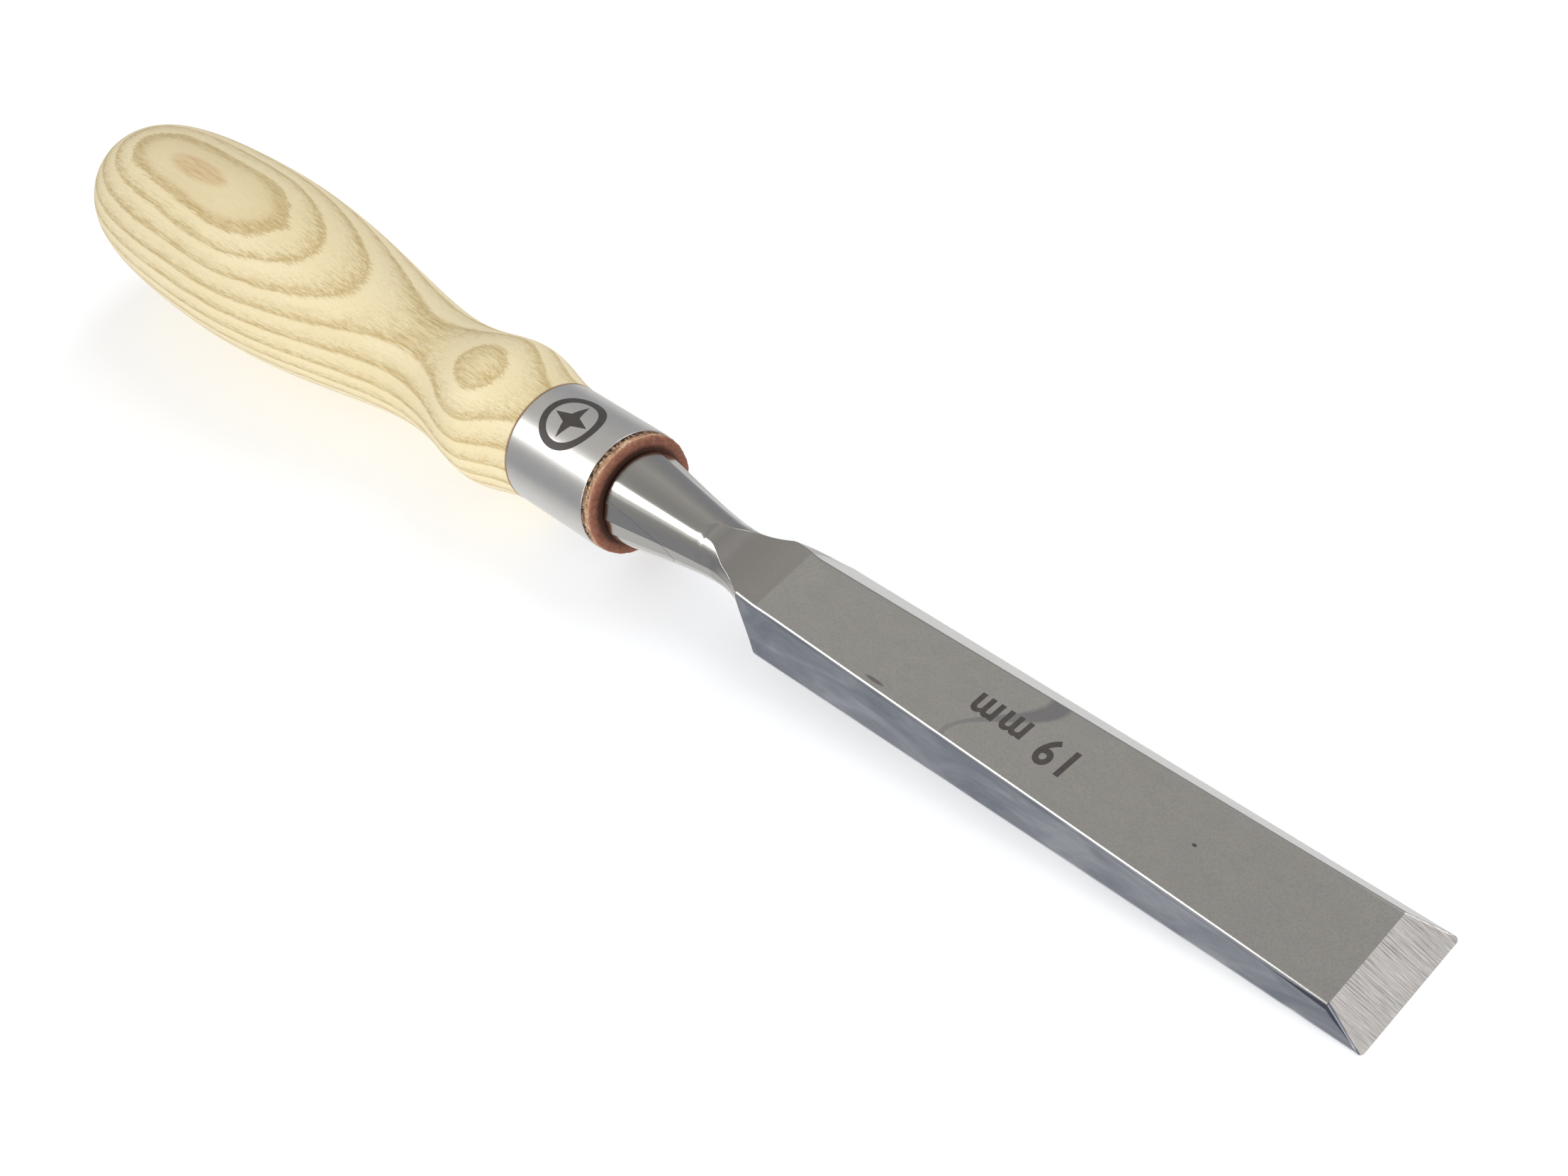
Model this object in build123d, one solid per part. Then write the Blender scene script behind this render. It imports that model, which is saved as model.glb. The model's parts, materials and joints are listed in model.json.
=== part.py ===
"""Bench chisel: a forged blade held in an ash handle by a tang, a steel ferrule and a leather washer.

The pieces are drawn in the tool's own frame: X runs along the handle's axis towards the cutting
edge, with X = 0 inside the ferrule, Z points away from the flat back of the blade, and the
handle's axis is Y = Z = 0.  The finished tool is then laid down as it lies on a bench, belly and
cutting edge on Z = 0, with the origin under the middle of its bounding box.
"""
import math
import os

from build123d import *

# Blade, mm
BLADE_WIDTH = 19.0
BACK_Z = -4.5                  # the flat back, below the handle's axis
BLADE_THICK_SHOULDER = 6.8
BLADE_THICK_TIP = 3.65         # where the ground bevel begins
SIDE_BEVEL_ANGLE = 59.0        # from the flat back
SIDE_LAND = 0.35               # upright strip between the back and each side bevel
CUTTING_EDGE_X = 150.8
GROUND_BEVEL_X = 145.0
EDGE_FLAT = 0.08               # blunt height of the cutting edge

# Neck and bolster of the same forging, mm
BOLSTER_RADIUS = 7.7
NECK_RADIUS = 4.55
NECK_X = 32.0                  # where the round neck begins to widen into the shoulders
SHOULDER_X = 43.6              # where the blade reaches its full width
RAMP_START = (28.8, 4.62)      # x and z where the ramp leaves the top of the neck
RAMP_DROP = (33.2, 3.45)       # its steepest point
RAMP_END_X = 42.5              # where it has come down to the blade's top face
FLARE_END_X = 44.7
FLARE_RADIUS = 12.0            # reach of the turned flare that rounds the shoulders' corners

# Tang, mm
TANG_LENGTH = 62.0
TANG_SIDE_FRONT = 7.4
TANG_SIDE_REAR = 3.6
TANG_POINT = 5.0

# Ferrule and washer, mm
FERRULE_RADIUS = 9.97
FERRULE_WALL = 1.3
FERRULE_REAR_X = -10.96
FERRULE_FRONT_X = 7.65
FERRULE_CHAMFER = 0.25
WASHER_RADIUS = 9.8
WASHER_THICK = 1.95
WASHER_ROUNDING = 0.6
WASHER_HOLE_RADIUS = 5.4

# Handle, mm
BUTT_X = -140.7
BELLY_X = -98.5
BELLY_RADIUS = 16.1
WAIST_X = -40.5
WAIST_RADIUS = 10.2
COLLAR_X = -23.5
COLLAR_RADIUS = 12.2
SEAT_RADIUS = 10.05            # wood beside the ferrule, a hair proud of it

BOLSTER_X = FERRULE_FRONT_X + WASHER_THICK
HALF_WIDTH = BLADE_WIDTH / 2
TOP_Z = BACK_Z + BLADE_THICK_SHOULDER
TIP_TOP_Z = BACK_Z + BLADE_THICK_TIP


def turned_envelope():
    """Bolster cone, neck and flare turned on one axis; it rounds the shoulders' corners."""
    end_x = CUTTING_EDGE_X + 1
    with BuildSketch(Plane.XZ) as sketch:
        with BuildLine():
            Bezier(
                (BOLSTER_X, BOLSTER_RADIUS),
                (BOLSTER_X + 3.8, BOLSTER_RADIUS - 0.26),
                (NECK_X - 6.4, NECK_RADIUS),
                (NECK_X, NECK_RADIUS),
            )
            Bezier(
                (NECK_X, NECK_RADIUS),
                (NECK_X + 6.5, NECK_RADIUS),
                (FLARE_END_X - 2.7, FLARE_RADIUS - 5.4),
                (FLARE_END_X, FLARE_RADIUS),
            )
            Polyline(
                (FLARE_END_X, FLARE_RADIUS),
                (end_x, FLARE_RADIUS),
                (end_x, 0),
                (BOLSTER_X, 0),
                (BOLSTER_X, BOLSTER_RADIUS),
            )
        make_face()
    return revolve(sketch.sketch, axis=Axis.X)


def shoulder_plan():
    """Plan view of the forging: the neck widens through one concave arc on each side."""
    rise = HALF_WIDTH - NECK_RADIUS
    run = SHOULDER_X - NECK_X
    arc_radius = (run**2 + rise**2) / (2 * rise)
    mid_y = NECK_RADIUS + arc_radius - math.sqrt(arc_radius**2 - (run / 2) ** 2)
    with BuildSketch(Plane.XY) as sketch:
        with BuildLine():
            ThreePointArc(
                (NECK_X, NECK_RADIUS),
                (NECK_X + run / 2, mid_y),
                (SHOULDER_X, HALF_WIDTH),
            )
            Polyline(
                (SHOULDER_X, HALF_WIDTH),
                (CUTTING_EDGE_X, HALF_WIDTH),
                (CUTTING_EDGE_X, 0),
                (BOLSTER_X, 0),
                (BOLSTER_X, HALF_WIDTH),
                (NECK_X, HALF_WIDTH),
                (NECK_X, NECK_RADIUS),
            )
        make_face()
        mirror(about=Plane.XZ)
    return extrude(sketch.sketch, amount=BLADE_WIDTH, both=True)


def side_outline():
    """Side view of the forging: flat back, ground bevel, tapering top and the ramp at the neck."""
    start_x, start_z = RAMP_START
    drop_x, drop_z = RAMP_DROP
    with BuildSketch(Plane.XZ) as sketch:
        with BuildLine():
            Bezier(
                (start_x, start_z),
                (start_x + 1.8, start_z - 0.07),
                (drop_x - 1.6, drop_z + 0.7),
                (drop_x, drop_z),
            )
            Bezier(
                (drop_x, drop_z),
                (drop_x + 1.6, drop_z - 0.7),
                (RAMP_END_X - 4.5, TOP_Z + 0.37),
                (RAMP_END_X, TOP_Z),
            )
            Polyline(
                (start_x, start_z),
                (start_x, BLADE_WIDTH),
                (BOLSTER_X, BLADE_WIDTH),
                (BOLSTER_X, -BLADE_WIDTH),
                (NECK_X, -BLADE_WIDTH),
                (NECK_X, BACK_Z),
                (CUTTING_EDGE_X, BACK_Z),
                (CUTTING_EDGE_X, BACK_Z + EDGE_FLAT),
                (GROUND_BEVEL_X, TIP_TOP_Z),
                (RAMP_END_X, TOP_Z),
            )
        make_face()
    return extrude(sketch.sketch, amount=BLADE_WIDTH, both=True)


def bevelled_section():
    """Blade section seen along X, two lands and two side bevels, with room left for the neck."""
    land_z = BACK_Z + SIDE_LAND
    peak_z = land_z + HALF_WIDTH * math.tan(math.radians(SIDE_BEVEL_ANGLE))
    with BuildSketch(Plane.YZ.offset(NECK_X)) as sketch:
        with BuildLine():
            Polyline(
                (-HALF_WIDTH, -BLADE_WIDTH),
                (HALF_WIDTH, -BLADE_WIDTH),
                (HALF_WIDTH, land_z),
                (0, peak_z),
                (-HALF_WIDTH, land_z),
                close=True,
            )
        make_face()
    blade = extrude(sketch.sketch, amount=CUTTING_EDGE_X - NECK_X)
    neck_length = NECK_X - BOLSTER_X
    neck_room = Pos(BOLSTER_X + neck_length / 2, 0, 0) * Box(neck_length, BLADE_WIDTH, 2 * BLADE_WIDTH)
    return blade + neck_room


def make_tang():
    """Square tang, tapering to a driven point inside the handle."""
    rear_x = BOLSTER_X - TANG_LENGTH
    sections = [
        Plane.YZ.offset(BOLSTER_X) * Rectangle(TANG_SIDE_FRONT, TANG_SIDE_FRONT),
        Plane.YZ.offset(rear_x + TANG_POINT) * Rectangle(TANG_SIDE_REAR, TANG_SIDE_REAR),
        Plane.YZ.offset(rear_x) * Rectangle(TANG_SIDE_REAR / 4, TANG_SIDE_REAR / 4),
    ]
    return loft(sections, ruled=True)


def make_blade():
    """Blade, shoulders, neck, bolster and tang: one forging."""
    ground = shoulder_plan() & side_outline() & bevelled_section()
    forging = turned_envelope() & ground
    return forging + make_tang()


def make_ferrule():
    """Steel tube round the front of the wood, with its outer edges broken."""
    length = FERRULE_FRONT_X - FERRULE_REAR_X
    tube = Cylinder(FERRULE_RADIUS, length) - Cylinder(FERRULE_RADIUS - FERRULE_WALL, length)
    outer_edges = tube.edges().filter_by(GeomType.CIRCLE).sort_by(SortBy.RADIUS)[-2:]
    tube = chamfer(outer_edges, FERRULE_CHAMFER)
    return Pos(FERRULE_REAR_X + length / 2, 0, 0) * Rot(0, 90, 0) * tube


def make_washer():
    """Leather disc between the bolster and the ferrule, with its front edge worn round."""
    disc = Cylinder(WASHER_RADIUS, WASHER_THICK) - Cylinder(WASHER_HOLE_RADIUS, WASHER_THICK)
    front_edge = disc.faces().sort_by(Axis.Z)[-1].edges().sort_by(SortBy.RADIUS)[-1]
    disc = fillet(front_edge, WASHER_ROUNDING)
    return Pos(FERRULE_FRONT_X + WASHER_THICK / 2, 0, 0) * Rot(0, 90, 0) * disc


def make_handle():
    """Turned ash handle: domed butt, belly, waist and collar, with a tenon inside the ferrule."""
    tenon_radius = FERRULE_RADIUS - FERRULE_WALL
    with BuildSketch(Plane.XZ) as sketch:
        with BuildLine():
            Bezier(
                (BUTT_X, 0),
                (BUTT_X, 0.8 * BELLY_RADIUS),
                (BUTT_X + 3.9, BELLY_RADIUS - 1.4),
                (BELLY_X - 16.4, BELLY_RADIUS),
                (BELLY_X, BELLY_RADIUS),
            )
            Bezier(
                (BELLY_X, BELLY_RADIUS),
                (BELLY_X + 24.6, BELLY_RADIUS),
                (WAIST_X - 13.2, WAIST_RADIUS),
                (WAIST_X, WAIST_RADIUS),
            )
            Bezier(
                (WAIST_X, WAIST_RADIUS),
                (WAIST_X + 8.5, WAIST_RADIUS),
                (COLLAR_X - 5.5, COLLAR_RADIUS),
                (COLLAR_X, COLLAR_RADIUS),
            )
            Bezier(
                (COLLAR_X, COLLAR_RADIUS),
                (COLLAR_X + 4.0, COLLAR_RADIUS),
                (FERRULE_REAR_X - 4.0, SEAT_RADIUS + 0.8),
                (FERRULE_REAR_X, SEAT_RADIUS),
            )
            Polyline(
                (FERRULE_REAR_X, SEAT_RADIUS),
                (FERRULE_REAR_X, tenon_radius),
                (FERRULE_FRONT_X, tenon_radius),
                (FERRULE_FRONT_X, 0),
                (BUTT_X, 0),
            )
        make_face()
    return revolve(sketch.sketch, axis=Axis.X) - make_tang()


def resting_tilt(handle):
    """Nose-down angle at which the handle's belly and the cutting edge stand on one plane."""
    tilt = 0.0
    for _ in range(4):
        belly_z = (Rot(0, tilt, 0) * handle).bounding_box().min.Z
        angle = math.radians(tilt)
        edge_z = BACK_Z * math.cos(angle) - CUTTING_EDGE_X * math.sin(angle)
        tilt += math.degrees(math.atan2(edge_z - belly_z, CUTTING_EDGE_X - BELLY_X))
    return tilt


def lay_down(pieces):
    """Lay the tool on its belly and cutting edge, with the origin under the middle of its box."""
    tilt = resting_tilt(pieces["handle"])
    tipped = {name: Rot(0, tilt, 0) * piece for name, piece in pieces.items()}
    boxes = [piece.bounding_box() for piece in tipped.values()]
    low_x = min(box.min.X for box in boxes)
    high_x = max(box.max.X for box in boxes)
    low_z = min(box.min.Z for box in boxes)
    shift = Pos(-(low_x + high_x) / 2, 0, -low_z)
    return {name: shift * piece for name, piece in tipped.items()}


def main():
    pieces = {
        "blade": make_blade(),
        "leather_washer": make_washer(),
        "ferrule": make_ferrule(),
        "handle": make_handle(),
    }
    os.makedirs("parts", exist_ok=True)
    for name, piece in lay_down(pieces).items():
        export_step(piece, f"parts/{name}.step")


main()
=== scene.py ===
import json
import math

import bmesh
import bpy
from mathutils import Matrix, Vector, noise


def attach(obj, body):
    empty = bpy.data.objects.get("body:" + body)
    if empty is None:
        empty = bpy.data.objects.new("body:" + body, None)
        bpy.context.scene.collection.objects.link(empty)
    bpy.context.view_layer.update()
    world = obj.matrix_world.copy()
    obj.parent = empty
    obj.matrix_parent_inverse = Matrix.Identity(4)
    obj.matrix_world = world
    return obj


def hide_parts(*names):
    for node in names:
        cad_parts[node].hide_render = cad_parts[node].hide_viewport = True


# Bench chisel: a forged blade, a leather washer, a turned ferrule and an ash handle, lying on its
# belly and its cutting edge.  Every piece is drawn in the tool's own frame in millimetres: X along
# the handle's axis towards the cutting edge, Z away from the flat back.  lay_down() then puts it
# where the tool rests.

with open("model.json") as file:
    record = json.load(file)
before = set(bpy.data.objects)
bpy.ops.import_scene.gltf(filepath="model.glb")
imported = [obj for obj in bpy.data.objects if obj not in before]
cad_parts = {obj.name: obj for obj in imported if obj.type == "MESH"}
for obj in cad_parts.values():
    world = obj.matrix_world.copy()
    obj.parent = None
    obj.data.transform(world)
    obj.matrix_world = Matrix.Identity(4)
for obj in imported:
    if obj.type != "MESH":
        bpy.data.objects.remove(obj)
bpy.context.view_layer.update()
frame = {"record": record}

MM = 0.001

# Blade and neck
HALF_WIDTH = 9.5
BACK_Z = -4.5
LAND_Z = -4.15
BEVEL_RISE = math.tan(math.radians(59.0))
BEVEL_EDGE = 4.83               # half width of the top face, carried back to x = 0
BEVEL_TAPER = 0.0185            # how much it widens for each mm along x
BOLSTER_X = 9.6
BOLSTER_ROUNDING = 0.7
NECK_X = 32.0
NECK_RADIUS = 4.7
SHOULDER_X = 43.6
SHOULDER_ARC = 16.07
RAMP_END_X = 42.5
TOP_Z = 2.3
RAMP_SPANS = (
    ((28.8, 4.62), (30.6, 4.55), (31.6, 4.15), (33.2, 3.45)),
    ((33.2, 3.45), (34.8, 2.75), (38.0, 2.67), (42.5, 2.3)),
)
GRIND_X = 145.0
TIP_TOP_Z = -0.85
EDGE_X = 150.8
EDGE_FLAT = 0.08
CORNER_ROUNDING = 0.6
SEAM_Y = 7.60                   # where the painted dark reflection line on the ground bevel's near seam starts, and its slope in plan
SEAM_SLOPE = 0.34
NECK_OUTLINE = ((9.6, 7.7), (13.4, 7.44), (25.6, 4.7), (32.0, 4.7))
FAR_FLARE_CURVE = ((32.0, 4.7), (36.8, 4.7), (42.0, 6.6), (47.2, 12.0))
NEAR_FLARE_CURVE = ((32.0, 4.7), (36.6, 4.75), (41.2, 6.6), (44.2, 12.0))
NEAR_SHIFT = 0.6                # how much earlier the near shoulder spreads
FAR_LIFT = 0.65                 # how much higher each side bevel starts at the shoulder
NEAR_LIFT = 0.15
LIFT_END_X = 45.6
LIFT_RUN = 4.6
HOLD_OFF = 0.5                  # how far the flats stand off the round neck, for each mm behind it
CREASE = 0.15                   # strip of the top face that is turned down where it meets the round
EASES = (0.10, 0.10, 0.24)      # size of the eased corners: back, wall, top
EASE_STEPS = (16, 6, 14)

# Tang
TANG_SECTIONS = ((9.6, 3.7), (-47.4, 1.8), (-52.4, 0.45))
POCKET_PLAY = 0.05

# Ferrule, washer and handle
FERRULE_RADIUS = 9.97
FERRULE_WALL = 1.3
FERRULE_REAR_X = -10.96
FERRULE_FRONT_X = 7.65
WASHER_RADIUS = 9.8
WASHER_HOLE = 5.4
HANDLE_OUTLINE = (
    ((-139.9, 0.0), (-139.9, 12.0), (-135.8, 14.5), (-114.9, 16.1), (-98.5, 16.1)),
    ((-98.5, 16.1), (-73.4, 16.1), (-53.7, 10.1), (-40.5, 10.1)),
    ((-40.5, 10.1), (-31.2, 10.1), (-28.2, 12.2), (-22.9, 12.2)),
    ((-22.9, 12.2), (-19.8, 12.2), (-15.6, 10.4), (-11.1, 10.0)),
)
PITH_X = -60.0
PITH = (-1.68, -26.8)          # y and z of the tree's middle at PITH_X
PITH_LEAN = (0.026, -0.014)    # how far it moves in y and z for each mm along x
RING_RADII = (8.0, 11.6, 15.0, 18.2, 21.2, 24.0, 26.6, 29.2, 31.8, 34.4, 36.7, 38.75, 40.45,
              41.55, 46.0)
CORE_SPOT = (-105.5, 1.8, 10.5, 2.6)     # x, y and half lengths of the innermost oval
TURNED_SIDES = 144

# Marks and blemishes, as x, y and half lengths where there are four numbers
STAIN = (66.3, -5.0, 2.1, 0.34)
PIN_SPOT = (118.5, 0.1, 0.45, 0.28)
MARK_RISE = 0.016               # how far a mark stands off the steel
MARK_SINK = 0.02                # and how far its underside is sunk in it
SIZE_MARK_X = 89.7
SIZE_MARK_Y = 0.15
ROUNDEL_X = -2.4
ROUNDEL_TURN = 0.09
ROUNDEL_CIRCLES = (4.2, 4.5, 4.8, 5.15, 5.5)
STAR_RADIUS = 3.7
STAR_WAIST = 0.36

# Camera, in metres
CAMERA_PLACE = (0.27075, -0.09448, 0.2676)
CAMERA_AIM = (0.03977, -0.00116, 0.012)
CAMERA_ROLL = math.radians(29.42)
CAMERA_LENS = 57.85
CAMERA_SHIFT = (-0.0007, 0.0010)


# ---------------------------------------------------------------- placing and shaping

def find_tool_place():
    """Row-frame place of the tool's own frame, from the clip's mount on the ferrule."""
    mount = next(m for m in frame["record"]["mounts"] if m["name"] == "ferrule_clip")
    along = Vector(mount["axis"]).normalized()
    ferrule_middle = (FERRULE_REAR_X + FERRULE_FRONT_X) / 2
    place = Matrix.Rotation(math.atan2(-along.z, along.x), 4, "Y")
    place.translation = Vector(mount["pos_m"]) - along * ferrule_middle * MM
    return place


TOOL_PLACE = find_tool_place()
TOOL_TILT = TOOL_PLACE.to_euler().y


def span(controls, steps):
    """Points along one Bezier span."""
    points = []
    for i in range(steps + 1):
        row = [Vector(c) for c in controls]
        while len(row) > 1:
            row = [a.lerp(b, i / steps) for a, b in zip(row, row[1:])]
        points.append(row[0])
    return points


def joined(spans):
    """Spans laid end to end, without their shared points."""
    points = list(spans[0])
    for more in spans[1:]:
        points += more[1:]
    return points


def radius_at(outline, x):
    """Radius of a turned outline at x."""
    for a, b in zip(outline, outline[1:]):
        if a.x <= x <= b.x:
            share = (x - a.x) / max(b.x - a.x, 1e-9)
            return a.y + share * (b.y - a.y)
    return outline[-1].y if x > outline[-1].x else outline[0].y


def turn(bm, outline, closed=False, sides=TURNED_SIDES):
    """Spin an outline of (x, radius) points once round the tool's axis."""
    verts = [bm.verts.new((p[0], 0.0, p[1])) for p in outline]
    edges = [bm.edges.new(pair) for pair in zip(verts, verts[1:])]
    if closed:
        edges.append(bm.edges.new((verts[-1], verts[0])))
    bmesh.ops.spin(bm, geom=verts + edges, cent=(0, 0, 0), axis=(1, 0, 0), dvec=(0, 0, 0),
                   angle=math.tau, steps=sides, use_merge=True, use_duplicate=False)
    bmesh.ops.remove_doubles(bm, verts=bm.verts, dist=1e-4)


def extrude_rim(bm, rim):
    """Extrude a rim's edges and give back the new edges and verts."""
    made = bmesh.ops.extrude_edge_only(bm, edges=rim)["geom"]
    edges = [g for g in made if isinstance(g, bmesh.types.BMEdge)]
    verts = [g for g in made if isinstance(g, bmesh.types.BMVert)]
    return edges, verts


def square_off(verts, x, half):
    """Press a ring of verts into a square of that half width at x."""
    for v in verts:
        reach = max(abs(v.co.y), abs(v.co.z))
        v.co = (x, v.co.y * half / reach, v.co.z * half / reach)


def tang_half(x):
    """Half width of the square tang at x."""
    (x0, h0), (x1, h1), _ = TANG_SECTIONS
    return h0 + (h1 - h0) * (x0 - x) / (x0 - x1)


def draw_tang(bm, rim, start_x, play):
    """Run a rim back along the tang and close its point."""
    stations = [(start_x, tang_half(start_x))] + list(TANG_SECTIONS[1:])
    for x, half in stations:
        rim, ring = extrude_rim(bm, rim)
        square_off(ring, x, half + play)
    bmesh.ops.contextual_create(bm, geom=rim)


def lay_down(bm, name, material, node=None, sharp=30.0):
    """Put a finished shape where the tool rests and hang it on the CAD frame."""
    bmesh.ops.recalc_face_normals(bm, faces=bm.faces)
    for face in bm.faces:
        face.smooth = True
    for edge in bm.edges:
        edge.smooth = edge.calc_face_angle(0.0) < math.radians(sharp)
    bmesh.ops.transform(bm, matrix=TOOL_PLACE @ Matrix.Scale(MM, 4), verts=bm.verts)
    mesh = bpy.data.meshes.new(name)
    bm.to_mesh(mesh)
    bm.free()
    piece = bpy.data.objects.new(name, mesh)
    bpy.context.scene.collection.objects.link(piece)
    for m in material if isinstance(material, (list, tuple)) else [material]:
        mesh.materials.append(m)
    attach(piece, "root")
    if node:
        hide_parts(node)
    return piece


# ---------------------------------------------------------------- finishes

class Finish:
    """A material being put together, with the tool's own coordinates in millimetres."""

    def __init__(self, name):
        self.material = bpy.data.materials.new(name)
        self.material.use_nodes = True
        self.tree = self.material.node_tree
        self.shader = self.tree.nodes["Principled BSDF"]
        coords = self.tree.nodes.new("ShaderNodeTexCoord")
        place = self.tree.nodes.new("ShaderNodeMapping")
        place.vector_type = "TEXTURE"
        place.inputs["Location"].default_value = TOOL_PLACE.translation
        place.inputs["Rotation"].default_value = (0.0, TOOL_TILT, 0.0)
        place.inputs["Scale"].default_value = (MM, MM, MM)
        self.tree.links.new(coords.outputs["Object"], place.inputs["Vector"])
        self.tool = place.outputs["Vector"]

    def feed(self, socket, value):
        """Link an output to a socket, or set it to a constant."""
        if isinstance(value, bpy.types.NodeSocket):
            self.tree.links.new(value, socket)
        else:
            socket.default_value = value

    def math(self, operation, a, b=0.0, c=0.0, clamp=False):
        """One step of arithmetic on outputs or numbers."""
        node = self.tree.nodes.new("ShaderNodeMath")
        node.operation = operation
        node.use_clamp = clamp
        for socket, value in zip(node.inputs, (a, b, c)):
            self.feed(socket, value)
        return node.outputs[0]

    def dot(self, direction):
        """Distance along a direction in the tool's frame, in mm."""
        node = self.tree.nodes.new("ShaderNodeVectorMath")
        node.operation = "DOT_PRODUCT"
        self.feed(node.inputs[0], self.tool)
        node.inputs[1].default_value = direction
        return node.outputs["Value"]

    def noise(self, per_mm, detail=3.0, roughness=0.55, distortion=0.0, offset=(0, 0, 0)):
        """Noise with its own scale, in cycles per mm, along each of the tool's axes."""
        stretch = self.tree.nodes.new("ShaderNodeMapping")
        stretch.inputs["Scale"].default_value = per_mm
        stretch.inputs["Location"].default_value = offset
        self.feed(stretch.inputs["Vector"], self.tool)
        node = self.tree.nodes.new("ShaderNodeTexNoise")
        node.inputs["Scale"].default_value = 1.0
        node.inputs["Detail"].default_value = detail
        node.inputs["Roughness"].default_value = roughness
        node.inputs["Distortion"].default_value = distortion
        self.feed(node.inputs["Vector"], stretch.outputs["Vector"])
        return node.outputs["Fac"]

    def ramp(self, value, stops):
        """Colour ramp; a stop is (position, grey) or (position, (r, g, b))."""
        node = self.tree.nodes.new("ShaderNodeValToRGB")
        elements = node.color_ramp.elements
        while len(elements) < len(stops):
            elements.new(1.0)
        for element, (position, colour) in zip(elements, stops):
            element.position = position
            if isinstance(colour, (int, float)):
                colour = (colour, colour, colour)
            element.color = (*colour, 1.0)
        self.feed(node.inputs["Fac"], value)
        return node.outputs["Color"]

    def span_of(self, value, low, high, out_low=0.0, out_high=1.0):
        """Value carried smoothly from one range to another, and held at its ends."""
        node = self.tree.nodes.new("ShaderNodeMapRange")
        node.interpolation_type = "SMOOTHSTEP"
        self.feed(node.inputs["Value"], value)
        node.inputs["From Min"].default_value = low
        node.inputs["From Max"].default_value = high
        node.inputs["To Min"].default_value = out_low
        node.inputs["To Max"].default_value = out_high
        return node.outputs["Result"]

    def mix(self, factor, a, b):
        """Blend of two colours, all b where the factor is one."""
        node = self.tree.nodes.new("ShaderNodeMix")
        node.data_type = "RGBA"
        self.feed(node.inputs["Factor"], factor)
        for socket, value in zip((node.inputs[6], node.inputs[7]), (a, b)):
            if isinstance(value, tuple) and len(value) == 3:
                value = (*value, 1.0)
            self.feed(socket, value)
        return node.outputs[2]

    def bump(self, height, depth_mm):
        """Surface relief, depth_mm deep where the height runs from nothing to one."""
        node = self.tree.nodes.new("ShaderNodeBump")
        node.inputs["Strength"].default_value = 1.0
        node.inputs["Distance"].default_value = depth_mm * MM
        self.feed(node.inputs["Height"], height)
        return node.outputs["Normal"]

    def set(self, **values):
        """Set or link the shader's sockets, named with underscores for spaces."""
        for name, value in values.items():
            if isinstance(value, tuple) and len(value) == 3:
                value = (*value, 1.0)
            self.feed(self.shader.inputs[name.replace("_", " ")], value)
        return self.material


def tint(r, g, b):
    """Linear colour from 0-255 sRGB levels."""
    return tuple(c / 255 / 12.92 if c <= 10 else ((c / 255 + 0.055) / 1.055) ** 2.4
                 for c in (r, g, b))


def spot(f, along, across, x, y, half_x, half_y):
    """Soft oval round x and y, one at its middle and nothing outside."""
    u = f.math("MULTIPLY", f.math("SUBTRACT", along, x), 1.0 / half_x)
    v = f.math("MULTIPLY", f.math("SUBTRACT", across, y), 1.0 / half_y)
    return f.span_of(f.math("MULTIPLY_ADD", u, u, f.math("MULTIPLY", v, v)), 0.3, 1.0, 1.0, 0.0)


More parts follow.
